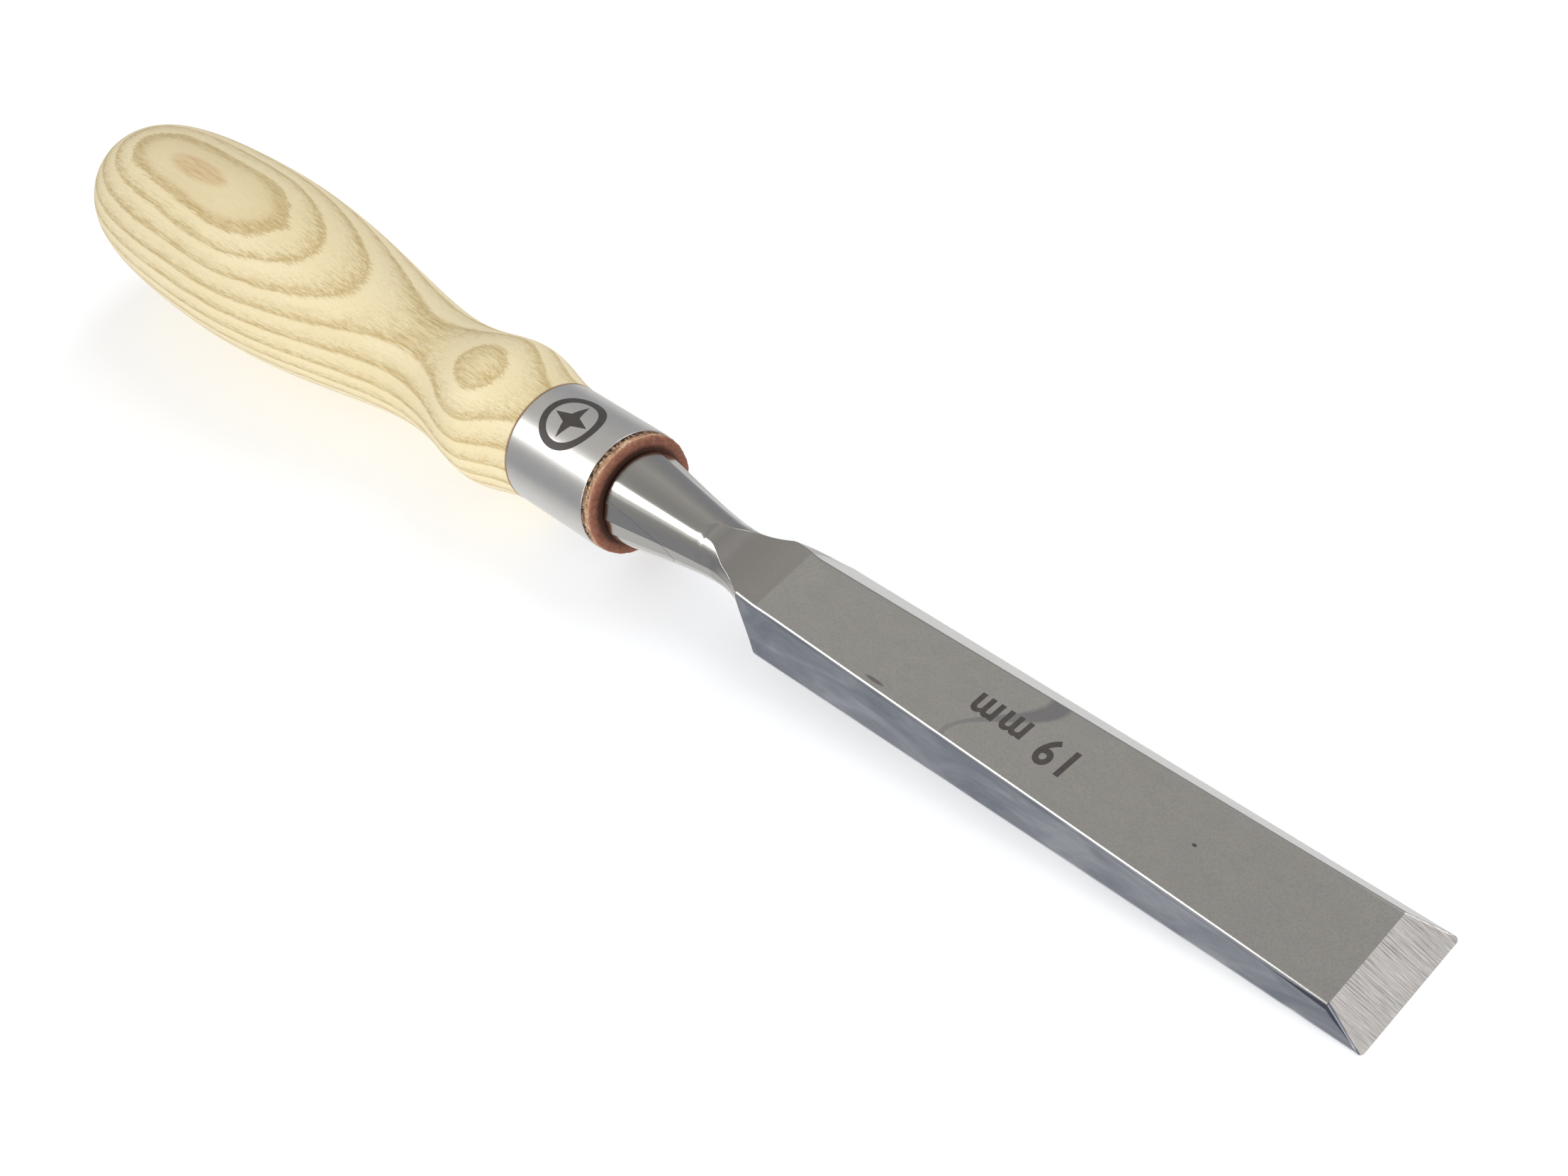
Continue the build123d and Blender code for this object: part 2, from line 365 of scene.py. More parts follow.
def make_ash():
    """Oiled ash: growth rings round the tree's middle, open pores along the grain."""
    f = Finish("ash")
    (py, pz), (ly, lz) = PITH, PITH_LEAN
    along = f.dot((1.0, 0.0, 0.0))
    across = f.math("ADD", f.dot((-ly, 1.0, 0.0)), PITH_X * ly - py)
    above = f.math("ADD", f.dot((-lz, 0.0, 1.0)), PITH_X * lz - pz)
    squares = f.math("MULTIPLY_ADD", across, across, f.math("MULTIPLY", above, above))
    from_pith = f.math("SQRT", squares)
    wander = f.noise((0.035, 0.10, 0.10), detail=2.0)
    fibre = f.noise((0.16, 2.6, 2.6), detail=3.0, roughness=0.6)
    hair = f.noise((0.55, 6.5, 6.5), detail=2.0, roughness=0.6, offset=(3, 5, 7))
    collar = f.span_of(along, -38.0, -30.0, 0.0, 0.2)
    butt = f.span_of(along, -140.0, -100.0, 1.8, 0.0)
    from_pith = f.math("ADD", from_pith, butt)
    radius = f.math("SUBTRACT", from_pith, collar)
    radius = f.math("MULTIPLY_ADD", f.math("SUBTRACT", wander, 0.5), 0.7, radius)
    radius = f.math("MULTIPLY_ADD", f.math("SUBTRACT", fibre, 0.5), 0.75, radius)
    low, high = RING_RADII[0], RING_RADII[-1]
    count = len(RING_RADII) - 1
    share = f.math("DIVIDE", f.math("SUBTRACT", radius, low), high - low, clamp=True)
    rings = f.ramp(share, [((r - low) / (high - low), i / count) for i, r in enumerate(RING_RADII)])
    year = f.math("FRACT", f.math("MULTIPLY", rings, float(count)))
    early = f.ramp(year, [(0.0, 1.0), (0.14, 0.80), (0.34, 0.42), (0.60, 0.12), (0.84, 0.0),
                          (0.93, 0.10), (1.0, 0.9)])
    line = f.ramp(year, [(0.0, 1.0), (0.16, 0.4), (0.32, 0.0), (0.92, 0.0), (1.0, 0.9)])
    heart = f.math("SUBTRACT", 1.0, f.span_of(from_pith, 41.8, 42.1))
    early = f.math("MULTIPLY", early, heart)
    pores = f.ramp(fibre, [(0.36, 1.0), (0.50, 0.42), (0.64, 0.0)])
    needles = f.ramp(hair, [(0.36, 1.0), (0.48, 0.2), (0.6, 0.0)])
    cloud = f.noise((0.03, 0.12, 0.12), detail=3.0, offset=(11, 2, 4))
    cream = f.mix(cloud, tint(240, 227, 190), tint(233, 216, 171))
    band = f.math("MULTIPLY", early, f.math("MULTIPLY_ADD", pores, 0.68, 0.16))
    colour = f.mix(band, cream, tint(196, 172, 114))
    colour = f.mix(f.math("MULTIPLY", line, 0.32), colour, tint(186, 155, 92))
    specks = f.math("MULTIPLY", needles, f.math("MULTIPLY_ADD", early, 0.5, 0.10))
    colour = f.mix(specks, colour, tint(172, 147, 96))
    core = spot(f, along, f.dot((0.0, 1.0, 0.0)), *CORE_SPOT)
    core = f.math("MULTIPLY", core, f.ramp(fibre, [(0.30, 0.85), (0.62, 0.30)]))
    core = f.math("MULTIPLY", core, f.span_of(above, 30.0, 34.0))
    colour = f.mix(core, colour, tint(203, 166, 116))
    seat = f.span_of(along, FERRULE_REAR_X - 0.38, FERRULE_REAR_X - 0.05)
    colour = f.mix(f.math("MULTIPLY", seat, 0.8), colour, tint(112, 62, 44))
    height = f.math("MULTIPLY_ADD", specks, -1.0, f.math("MULTIPLY", band, -0.5))
    shine = f.math("MULTIPLY_ADD", band, 0.12, 0.46)
    return f.set(Base_Color=colour, Roughness=shine, Specular_IOR_Level=0.35,
                 Normal=f.bump(height, 0.03))


def dark_edge_reflection(f, along):
    """Painted reflection: dark line down the near side of the ground bevel and a little way back
    from it, beside the near top edge.
    """
    seam = f.math("ADD", f.dot((SEAM_SLOPE, 1.0, 0.0)), SEAM_Y - SEAM_SLOPE * GRIND_X)
    seam = f.math("ABSOLUTE", seam)
    thin = f.span_of(along, GRIND_X, EDGE_X - 0.8, 0.58, 0.16)
    line = f.math("SUBTRACT", 1.0, f.math("DIVIDE", seam, thin), clamp=True)
    line = f.math("MULTIPLY", line, f.span_of(along, GRIND_X - 0.2, GRIND_X))
    edge = f.math("ABSOLUTE", f.math("ADD", f.dot((BEVEL_TAPER, 1.0, 0.0)), BEVEL_EDGE + 0.28))
    wide = f.span_of(along, GRIND_X - 9.0, GRIND_X, 0.02, 0.26)
    back = f.math("SUBTRACT", 1.0, f.math("DIVIDE", edge, wide), clamp=True)
    back = f.math("MULTIPLY", back, f.span_of(along, GRIND_X, GRIND_X + 0.3, 1.0, 0.0))
    return f.span_of(f.math("MAXIMUM", line, back), 0.1, 0.5, 0.0, 0.85)


def make_blade_steel():
    """Polished neck and bolster, finer satin on the blade's faces, the ramp painted darker as shade
    and left rougher; painted reflections across the top face, painted reflection and shade at the
    bolster's foot, and painted dark reflections along the near edges.
    """
    f = Finish("blade_steel")
    along, across = f.dot((1.0, 0.0, 0.0)), f.dot((0.0, 1.0, 0.0))
    ground = f.span_of(along, 36.0, 42.0)
    mottle = f.noise((0.25, 0.5, 0.5), detail=4.0)
    grain = f.noise((3.0, 3.0, 3.0), detail=2.0)
    cloudy = f.noise((0.06, 0.2, 0.2), detail=3.0, offset=(4, 1, 8))
    wisps = f.noise((0.07, 0.30, 0.30), detail=4.0, distortion=0.8, offset=(9, 2, 6))
    lines = f.noise((0.04, 7.0, 7.0), detail=2.0, roughness=0.5)
    turned = f.noise((5.0, 0.12, 0.12), detail=3.0, roughness=0.6)
    colour = f.mix(mottle, tint(184, 182, 178), tint(197, 195, 191))
    colour = f.mix(f.ramp(grain, [(0.36, 0.22), (0.58, 0.0)]), colour, tint(150, 150, 150))
    colour = f.mix(ground, tint(178, 176, 172), colour)
    bevel = f.span_of(f.dot((BEVEL_TAPER, 1.0, 0.0)), -BEVEL_EDGE - 0.15, -BEVEL_EDGE - 0.01,
                      1.0, 0.0)
    bevel = f.math("MULTIPLY", bevel, ground)
    wispy = f.ramp(wisps, [(0.36, tint(164, 168, 178)), (0.5, tint(186, 189, 195)),
                           (0.64, tint(212, 214, 218))])
    colour = f.mix(f.math("MULTIPLY", bevel, 0.85), colour, wispy)
    top = f.math("SUBTRACT", 1.0, bevel)
    # Painted shade: the ramp darkened for the shade its slope takes; its roughness is also raised
    # further down.
    on_ramp = f.span_of(f.dot((1.0, -0.07, 0.0)), 42.75, 43.1, 1.0, 0.0)
    on_ramp = f.math("MULTIPLY", on_ramp, f.span_of(along, 30.4, 31.8))
    on_ramp = f.math("MULTIPLY", on_ramp, f.span_of(across, -5.75, -5.55))
    colour = f.mix(f.math("MULTIPLY", on_ramp, 0.45), colour, tint(150, 146, 143))
    # Painted reflection: a soft dark S-shaped band across the top face, wider and darker towards
    # the far side.
    swing = f.math("SUBTRACT", along, f.span_of(across, -5.6, 6.1, 79.8, 90.8))
    swing = f.math("ABSOLUTE", swing)
    swing = f.math("DIVIDE", swing, f.span_of(across, -4.0, 5.0, 0.55, 2.2))
    far = f.span_of(f.dot((-BEVEL_TAPER, 1.0, 0.0)), BEVEL_EDGE - 0.13, BEVEL_EDGE + 0.01,
                    1.0, 0.0)
    reflection_band = f.math("MULTIPLY", f.span_of(swing, 0.45, 1.0, 1.0, 0.0), f.math("MULTIPLY", top, far))
    reflection_band = f.math("MULTIPLY", reflection_band, f.span_of(across, -5.0, 4.0, 0.30, 0.62))
    colour = f.mix(reflection_band, colour, tint(124, 124, 132))
    stain = f.math("MULTIPLY", spot(f, along, across, *STAIN), 0.7)
    colour = f.mix(stain, colour, tint(112, 110, 112))
    colour = f.mix(spot(f, along, across, *PIN_SPOT), colour, tint(110, 108, 108))
    # Painted reflection of the leather washer and painted contact shade on the bolster's foot,
    # darkest against the washer.
    foot = f.span_of(along, BOLSTER_X + 0.35, BOLSTER_X + 1.8, 1.0, 0.0)
    colour = f.mix(f.math("MULTIPLY", foot, 0.85), colour, tint(58, 50, 47))
    # Painted reflection: dark lines along the ground bevel's near edge and the near top edge.
    colour = f.mix(dark_edge_reflection(f, along), colour, tint(74, 78, 92))
    rough = f.math("MULTIPLY_ADD", cloudy, 0.10, 0.11)
    rough = f.math("MULTIPLY_ADD", on_ramp, 0.10, rough)
    height = f.mix(ground, turned, lines)
    return f.set(Base_Color=colour, Metallic=1.0, Roughness=rough, Normal=f.bump(height, 0.0004))


def make_grind():
    """Ground bevel at the cutting edge: fine lengthwise wheel marks."""
    f = Finish("ground_bevel")
    marks = f.noise((0.16, 6.0, 0.0), detail=4.0, roughness=0.72)
    scratches = f.noise((0.30, 11.0, 0.0), detail=3.0, roughness=0.7, offset=(5, 3, 1))
    broad = f.noise((0.05, 1.1, 0.0), detail=3.0, offset=(2, 9, 4))
    colour = f.mix(broad, tint(214, 203, 200), tint(196, 201, 197))
    colour = f.mix(f.ramp(marks, [(0.38, 0.85), (0.53, 0.0)]), colour, tint(136, 127, 128))
    colour = f.mix(f.ramp(scratches, [(0.52, 0.0), (0.64, 0.85)]), colour, tint(240, 236, 233))
    # Painted reflection: dark line along the ground bevel's near edge.
    colour = f.mix(dark_edge_reflection(f, f.dot((1.0, 0.0, 0.0))), colour, tint(74, 78, 92))
    rough = f.math("MULTIPLY_ADD", marks, 0.2, 0.30)
    height = f.math("MULTIPLY_ADD", scratches, 0.5, marks)
    return f.set(Base_Color=colour, Metallic=1.0, Roughness=rough, Normal=f.bump(height, 0.008))


def make_ferrule_steel():
    """Satin turned tube: very fine marks running round it."""
    f = Finish("ferrule_steel")
    turned = f.noise((9.0, 0.10, 0.10), detail=4.0, roughness=0.65)
    mottle = f.noise((0.4, 0.4, 0.4), detail=4.0)
    colour = f.mix(mottle, tint(220, 218, 214), tint(210, 208, 204))
    rough = f.math("MULTIPLY_ADD", turned, 0.12, 0.25)
    return f.set(Base_Color=colour, Metallic=1.0, Roughness=rough, Normal=f.bump(turned, 0.002))


def make_leather():
    """Cut leather: pressed face with painted shade darkening it inwards, torn rim with black specks
    by the ferrule.
    """
    f = Finish("leather")
    along, across, above = f.dot((1.0, 0.0, 0.0)), f.dot((0.0, 1.0, 0.0)), f.dot((0.0, 0.0, 1.0))
    squares = f.math("MULTIPLY_ADD", across, across, f.math("MULTIPLY", above, above))
    reach = f.math("SQRT", squares)
    fibre = f.noise((1.6, 1.2, 1.2), detail=6.0, roughness=0.75, distortion=0.8)
    grain = f.noise((4.0, 4.0, 4.0), detail=4.0, roughness=0.6)
    flecks = f.noise((2.4, 2.0, 2.0), detail=5.0, roughness=0.7, offset=(7, 1, 3))
    crumbs = f.noise((1.9, 1.7, 1.7), detail=4.0, roughness=0.65, offset=(2, 8, 5))
    layers = f.noise((2.6, 0.2, 0.2), detail=3.0, roughness=0.5)
    face = f.span_of(along, BOLSTER_X - 0.62, BOLSTER_X - 0.3)
    rim = f.ramp(fibre, [(0.32, tint(132, 93, 70)), (0.44, tint(194, 149, 118)),
                         (0.54, tint(220, 178, 146)), (0.64, tint(248, 226, 198))])
    rim = f.mix(f.ramp(flecks, [(0.54, 0.0), (0.62, 0.6)]), rim, tint(170, 144, 102))
    pressed = f.ramp(fibre, [(0.30, tint(112, 70, 54)), (0.50, tint(143, 94, 75)),
                             (0.70, tint(166, 116, 94))])
    colour = f.mix(face, rim, pressed)
    seams = f.ramp(layers, [(0.38, 0.6), (0.48, 0.0)])
    seams = f.math("MULTIPLY", seams, f.math("SUBTRACT", 1.0, face))
    colour = f.mix(seams, colour, tint(104, 66, 48))
    # Painted highlight: a lighter line along the rounded corner between rim and face.
    ridge_highlight = f.math("MULTIPLY", f.span_of(along, BOLSTER_X - 0.75, BOLSTER_X - 0.45),
                   f.span_of(along, BOLSTER_X - 0.35, BOLSTER_X - 0.12, 1.0, 0.0))
    colour = f.mix(f.math("MULTIPLY", ridge_highlight, 0.25), colour, tint(206, 160, 132))
    # Painted shade: the face darkened towards its inner edge by the bolster.
    inner = f.span_of(reach, 7.75, 8.75, 0.9, 0.0)
    colour = f.mix(inner, colour, tint(58, 34, 26))
    rear = f.span_of(along, FERRULE_FRONT_X + 0.3, FERRULE_FRONT_X + 1.1, 1.0, 0.0)
    specks = f.math("MULTIPLY", f.ramp(crumbs, [(0.47, 1.0), (0.55, 0.2)]), rear)
    loose = f.math("MULTIPLY", f.ramp(crumbs, [(0.35, 0.8), (0.41, 0.0)]),
                   f.math("MULTIPLY_ADD", face, -0.6, 1.0))
    colour = f.mix(f.math("MAXIMUM", specks, loose), colour, tint(42, 34, 26))
    height = f.math("MULTIPLY_ADD", grain, 0.4, fibre)
    return f.set(Base_Color=colour, Roughness=0.72, Specular_IOR_Level=0.25,
                 Normal=f.bump(height, 0.16))


def make_etch():
    """Dark etched marking on steel."""
    f = Finish("etched_mark")
    mottle = f.noise((1.5, 1.5, 1.5), detail=4.0)
    colour = f.mix(mottle, tint(62, 58, 57), tint(84, 80, 78))
    rough = f.math("MULTIPLY_ADD", mottle, 0.2, 0.4)
    return f.set(Base_Color=colour, Metallic=0.4, Roughness=rough)


# ---------------------------------------------------------------- turned pieces

def make_handle(material):
    """Ash handle: domed butt, belly, waist and collar, with the tang's pocket."""
    spans = [span(s, n) for s, n in zip(HANDLE_OUTLINE, (44, 40, 24, 20))]
    tenon = FERRULE_RADIUS - FERRULE_WALL
    outline = joined(spans) + [
        Vector((FERRULE_REAR_X - 0.02, 9.86)),
        Vector((FERRULE_REAR_X - 0.02, tenon)),
        Vector((FERRULE_FRONT_X, tenon)),
        Vector((FERRULE_FRONT_X, 6.4)),
    ]
    bm = bmesh.new()
    turn(bm, outline)
    rim = [e for e in bm.edges if e.is_boundary]
    draw_tang(bm, rim, FERRULE_FRONT_X, POCKET_PLAY)
    return lay_down(bm, "handle_turned", material, "handle")


def rounded_rim(x, radius, size, front):
    """Quarter round at a tube's outer edge, in order of rising x."""
    sign = 1.0 if front else -1.0
    points = span(((x - sign * size, radius), (x, radius), (x, radius - size)), 5)
    return points if front else points[::-1]


def make_ferrule(material):
    """Steel tube with both outer edges broken."""
    inner = FERRULE_RADIUS - FERRULE_WALL
    outline = [Vector((FERRULE_REAR_X, inner))]
    outline += rounded_rim(FERRULE_REAR_X, FERRULE_RADIUS, 0.22, False)
    outline += [Vector((FERRULE_REAR_X + 0.3, FERRULE_RADIUS))]
    outline += [Vector((x, FERRULE_RADIUS)) for x in (-6.0, -1.6, 3.0)]
    outline += [Vector((FERRULE_FRONT_X - 0.3, FERRULE_RADIUS))]
    outline += rounded_rim(FERRULE_FRONT_X, FERRULE_RADIUS, 0.10, True)
    outline += [Vector((FERRULE_FRONT_X, inner))]
    bm = bmesh.new()
    turn(bm, outline, closed=True)
    return lay_down(bm, "ferrule_tube", material, "ferrule", sharp=50)


def make_washer(material):
    """Leather disc: torn rim, edge rounded towards the bolster."""
    x0, x1 = FERRULE_FRONT_X, BOLSTER_X
    outline = [Vector((x0, WASHER_HOLE)), Vector((x0, WASHER_RADIUS - 0.12))]
    outline += span(((x0 + 0.02, WASHER_RADIUS - 0.12), (x0 + 0.05, WASHER_RADIUS),
                     (x0 + 0.3, WASHER_RADIUS)), 3)
    outline += [Vector((x0 + 0.3 + 0.12 * i, WASHER_RADIUS)) for i in range(1, 9)]
    outline += span(((x1 - 0.62, WASHER_RADIUS), (x1 - 0.05, WASHER_RADIUS - 0.02),
                     (x1, WASHER_RADIUS - 0.65)), 7)
    outline += [Vector((x1 - d, r)) for d, r in ((0.0, 8.95), (0.02, 8.65), (0.07, 8.35),
                                                 (0.11, 8.05), (0.12, 7.7), (0.10, 7.1),
                                                 (0.0, 6.2), (0.0, WASHER_HOLE))]
    bm = bmesh.new()
    turn(bm, outline, closed=True, sides=288)
    for v in bm.verts:
        reach = math.hypot(v.co.y, v.co.z)
        if reach < 7.8 or v.co.x < x0 + 0.05:
            continue
        torn = noise.fractal(Vector((v.co.x * 2.6, v.co.y * 1.3, v.co.z * 1.3)), 0.8, 2.0, 4)
        coarse = noise.noise(Vector((v.co.x * 0.6, v.co.y * 0.35, v.co.z * 0.35)))
        out = Vector((0.0, v.co.y, v.co.z)) / reach
        share = min(1.0, max(0.0, (reach - 8.6) / 1.0))
        v.co += out * share * (0.13 * torn + 0.07 * coarse - 0.04)
        v.co.x += (1.0 - share) * 0.035 * (torn - 0.4)
    return lay_down(bm, "leather_washer_cut", material, "leather_washer", sharp=60)


# ---------------------------------------------------------------- the forging

NECK = span(NECK_OUTLINE, 48)
FAR_FLARE = span(FAR_FLARE_CURVE, 32)
NEAR_FLARE = span(NEAR_FLARE_CURVE, 32)
RAMP = joined([span(s, 32) for s in RAMP_SPANS])


def turned_radius(x, flare):
    """Radius of the turned neck and flare, which rounds off the shoulders."""
    if x <= NECK_X:
        radius = radius_at(NECK, x)
        short = BOLSTER_X + BOLSTER_ROUNDING - x
        if short > 0:
            radius -= BOLSTER_ROUNDING - math.sqrt(max(BOLSTER_ROUNDING**2 - short**2, 0.0))
        return radius
    return radius_at(flare, x)


def top_height(x):
    """Height of the forging's top: ramp, tapering face and ground bevel."""
    if x < RAMP_END_X:
        return radius_at(RAMP, x) + max(RAMP[0].x - x, 0.0) * HOLD_OFF
    taper = TOP_Z + (x - RAMP_END_X) * (TIP_TOP_Z - TOP_Z) / (GRIND_X - RAMP_END_X)
    edge_top = BACK_Z + EDGE_FLAT
    grind = TIP_TOP_Z + (x - GRIND_X) * (edge_top - TIP_TOP_Z) / (EDGE_X - GRIND_X)
    return min(taper, grind)


def half_breadth(x):
    """Half width in plan: shoulders one concave arc each, corners of the edge eased."""
    if x < SHOULDER_X:
        run = max(x - NECK_X, 0.0)
        return NECK_RADIUS + SHOULDER_ARC - math.sqrt(SHOULDER_ARC**2 - run**2)
    near = x - (EDGE_X - CORNER_ROUNDING)
    if near > 0:
        return HALF_WIDTH - CORNER_ROUNDING + math.sqrt(max(CORNER_ROUNDING**2 - near**2, 0.0))
    return HALF_WIDTH


def chord(a, b, radius):
    """The part of a-b that lies inside a circle, or the nearest point on the circle, twice."""
    along = b - a
    length = along.length
    if length > 1e-9:
        step = along / length
        foot = -a.dot(step)
        off = (a + step * foot).length
        if off < radius:
            reach = math.sqrt(radius**2 - off**2)
            start, end = max(0.0, foot - reach), min(length, foot + reach)
            if start < end:
                return a + step * start, a + step * end
        near = a + step * min(max(foot, 0.0), length)
    else:
        near = a
    if near.length <= radius:
        return near, near
    near = near * (radius / near.length)
    return near, near


def sweep(a, b, radius, corner, at_top, steps):
    """From one flat to the next: round the turned envelope, or over an eased corner."""
    if (a - b).length < 1e-6:
        return [a.copy() for _ in range(steps + 1)]
    if abs(a.length - radius) < 1e-5 and abs(b.length - radius) < 1e-5 and corner.length > radius:
        start, end = math.atan2(a.y, a.x), math.atan2(b.y, b.x)
        shares = [i / (steps - 4) for i in range(steps - 3)]
        tail = min(CREASE / radius / max(end - start, 1e-6), 0.3) if at_top else 0.0
        arc = [Vector((math.cos(t), math.sin(t))) * radius
               for t in (start + (end - start) * (1.0 - tail) * k for k in shares)]
        flat = Vector((max(b.x - min(CREASE, 0.4 * b.x), 0.0), b.y)) if at_top else b
        return arc[:-1] + span((arc[-1], b, flat), 4)
    if at_top:
        corner = ((a + b) / 2).lerp(corner, 0.35)
    return span((a, corner, b), steps)


def flat_run(a, b, steps):
    """Points along a flat, with close ones beside each end so its shading stays flat."""
    length = (b - a).length
    close = min(0.05 / length, 0.2) if length > 1e-6 else 0.2
    shares = [0.0, close] + [close + (1 - 2 * close) * i / steps for i in range(1, steps)]
    shares += [1.0 - close, 1.0]
    return [a.lerp(b, s) for s in shares]


def half_section(x, flare, shift, lift):
    """Half of the forging's section at x, from under the middle to above it, as (y, z)."""
    radius = turned_radius(x, flare)
    clear = max(NECK_X - x, 0.0) * HOLD_OFF       # holds the flats off the round neck
    width = half_breadth(x + shift) + clear
    floor_z = BACK_Z - clear
    top_z = top_height(x)
    share = min(max((LIFT_END_X - x) / LIFT_RUN, 0.0), 1.0)
    land_z = LAND_Z + clear * 3.0 + lift * share * share * (3.0 - 2.0 * share)
    wall_z = min(land_z + (HALF_WIDTH - width) * BEVEL_RISE, top_z)
    top_y = max(min(HALF_WIDTH - (top_z - land_z) / BEVEL_RISE, width), 0.1)
    corners = [Vector(p) for p in
               ((0.0, floor_z), (width, floor_z), (width, wall_z), (top_y, top_z), (0.0, top_z))]
    flats = [chord(a, b, radius) for a, b in zip(corners, corners[1:])]
    ends = [[a, b] for a, b in flats]
    for i, ease in enumerate(EASES):
        corner = corners[i + 1]
        before, after = ends[i], ends[i + 1]
        if (before[1] - corner).length < 1e-6 and (after[0] - corner).length < 1e-6:
            first, second = before[1] - before[0], after[1] - after[0]
            size = min(ease, 0.45 * first.length, 0.45 * second.length)
            if size > 1e-4:
                before[1] = corner - first.normalized() * size * (0.75 if i == 2 else 1.0)
                after[0] = corner + second.normalized() * size
    turns = [sweep(ends[i][1], ends[i + 1][0], radius, corners[i + 1], i == 2, EASE_STEPS[i])
             for i in range(3)]
    ends[3][0] = turns[2][-1]
    points = []
    for i, steps in enumerate((4, 3, 4, 6)):
        points += flat_run(*ends[i], steps)[:-1]
        if i < 3:
            points += turns[i][:-1]
    points.append(ends[3][1])
    return points


def whole_section(x):
    """The forging's section right round, far side first."""
    far = half_section(x, FAR_FLARE, 0.0, FAR_LIFT)
    shift = min(max(x - NECK_X, 0.0), NEAR_SHIFT) if x < SHOULDER_X else 0.0
    near = half_section(x, NEAR_FLARE, shift, NEAR_LIFT)
    return list(far) + [Vector((-p.x, p.y)) for p in near[-2:0:-1]]


def stations():
    """Where sections are taken: close together wherever the shape turns."""
    xs = [BOLSTER_X + BOLSTER_ROUNDING * (1 - math.cos(math.radians(a))) for a in range(10, 91, 10)]
    xs += [BOLSTER_X + BOLSTER_ROUNDING + 0.6 * i for i in range(1, 30)]
    xs += [28.7 + 0.2 * i for i in range(0, 85)]
    xs += [RAMP_END_X - 0.04, RAMP_END_X + 0.04]
    xs += [48.0 + 4.0 * i for i in range(0, 25)]
    xs += [GRIND_X - 0.06, GRIND_X - 0.02, GRIND_X + 0.02, GRIND_X + 0.06]
    xs += [GRIND_X + 0.5 * i for i in range(1, 11)]
    turn_x = EDGE_X - CORNER_ROUNDING
    xs += [turn_x + CORNER_ROUNDING * math.sin(math.radians(a)) for a in range(0, 91, 10)]
    return sorted(set(round(x, 4) for x in xs if BOLSTER_X < x <= EDGE_X))


def make_blade(materials):
    """The forging: bolster, neck, shoulders, blade, ground bevel and tang in one piece."""
    bm = bmesh.new()
    verts = [bm.verts.new((BOLSTER_X, p.x, p.y)) for p in whole_section(BOLSTER_X)]
    rim = [bm.edges.new((a, b)) for a, b in zip(verts, verts[1:] + verts[:1])]
    rear = list(rim)
    ring = verts
    for x in stations():
        made = bmesh.ops.extrude_edge_only(bm, edges=rim)["geom"]
        rim = [g for g in made if isinstance(g, bmesh.types.BMEdge)]
        after = {}
        for v in (g for g in made if isinstance(g, bmesh.types.BMVert)):
            mates = [e.other_vert(v) for e in v.link_edges]
            after[next(m for m in mates if m in set(ring))] = v
        ring = [after[v] for v in ring]
        for v, p in zip(ring, whole_section(x)):
            v.co = (x, p.x, p.y)
    bmesh.ops.contextual_create(bm, geom=rim)
    inner, ring = extrude_rim(bm, rear)
    for v in ring:
        reach = math.hypot(v.co.y, v.co.z)
        v.co = (BOLSTER_X, v.co.y * 5.35 / reach, v.co.z * 5.35 / reach)
    draw_tang(bm, inner, BOLSTER_X, 0.0)
    bmesh.ops.remove_doubles(bm, verts=bm.verts, dist=2e-4)
    bmesh.ops.recalc_face_normals(bm, faces=bm.faces)
    for face in bm.faces:
        on_grind = face.calc_center_median().x > GRIND_X and face.normal.x > 0.3
        face.material_index = 1 if on_grind and face.normal.z > 0.3 else 0
    return lay_down(bm, "blade_forged", materials, "blade", sharp=11)


# ---------------------------------------------------------------- etched marks

def make_size_mark(material):
    """Size etched on the top face, read from the far side of the handle."""
    words = bpy.data.curves.new("size_words", "FONT")
    words.body = "19 mm"
    words.size = 6.0
    words.offset = 0.15
    words.shear = 0.12
    words.space_character = 1.16
    words.align_x = "CENTER"
    words.align_y = "CENTER"
    holder = bpy.data.objects.new("size_words", words)
    bpy.context.scene.collection.objects.link(holder)
    bpy.context.view_layer.update()
    mesh = bpy.data.meshes.new_from_object(holder)
    bpy.data.objects.remove(holder)
    bm = bmesh.new()
    bm.from_mesh(mesh)
    bpy.data.meshes.remove(mesh)
    slope = (TIP_TOP_Z - TOP_Z) / (GRIND_X - RAMP_END_X)
    for v in bm.verts:
        x = SIZE_MARK_X - v.co.x
        v.co = (x, SIZE_MARK_Y - v.co.y, TOP_Z + (x - RAMP_END_X) * slope + MARK_RISE)
    bmesh.ops.remove_doubles(bm, verts=bm.verts, dist=1e-4)
    made = bmesh.ops.extrude_face_region(bm, geom=bm.faces[:])["geom"]
    for v in (g for g in made if isinstance(g, bmesh.types.BMVert)):
        v.co.z -= MARK_RISE + MARK_SINK
    return lay_down(bm, "size_mark", material, sharp=30)


